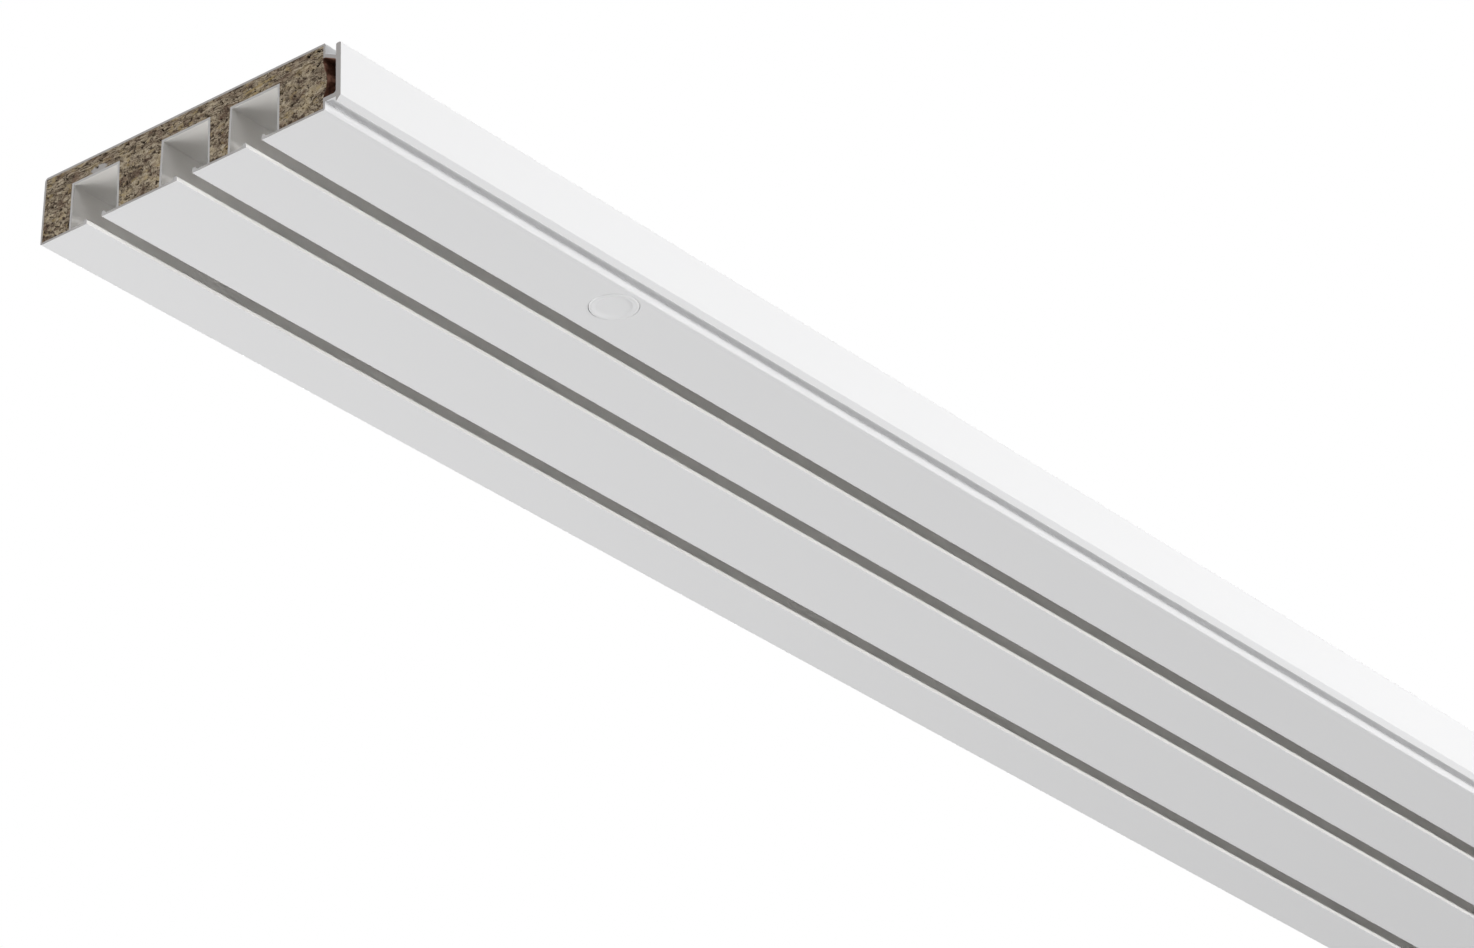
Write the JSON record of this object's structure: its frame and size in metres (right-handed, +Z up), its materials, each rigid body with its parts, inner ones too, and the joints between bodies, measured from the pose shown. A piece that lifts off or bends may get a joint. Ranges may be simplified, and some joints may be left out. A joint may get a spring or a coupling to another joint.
{
  "type": "curtain track",
  "caption": "Flat ceiling curtain track: a chipboard core in a white plastic jacket, with lined running channels open below through slots, a front flange and screw caps.",
  "frame": {"origin": "middle of the ceiling face, half-way along the track and half-way across the board", "axes": "+X along the track away from the end that the picture shows, +Y to the window side, +Z up to the ceiling"},
  "size_m": [1.2, 0.0904, 0.0173],
  "materials": {
    "jacket_plastic": "satin white",
    "chipboard": "raw sawn chipboard",
    "cap_plastic": "satin white"
  },
  "bodies": {
    "root": {"plastic_jacket": "jacket_plastic", "chipboard_core": "chipboard", "cover_cap_1": "cap_plastic", "cover_cap_2": "cap_plastic", "cover_cap_3": "cap_plastic"}
  },
  "joints": []
}
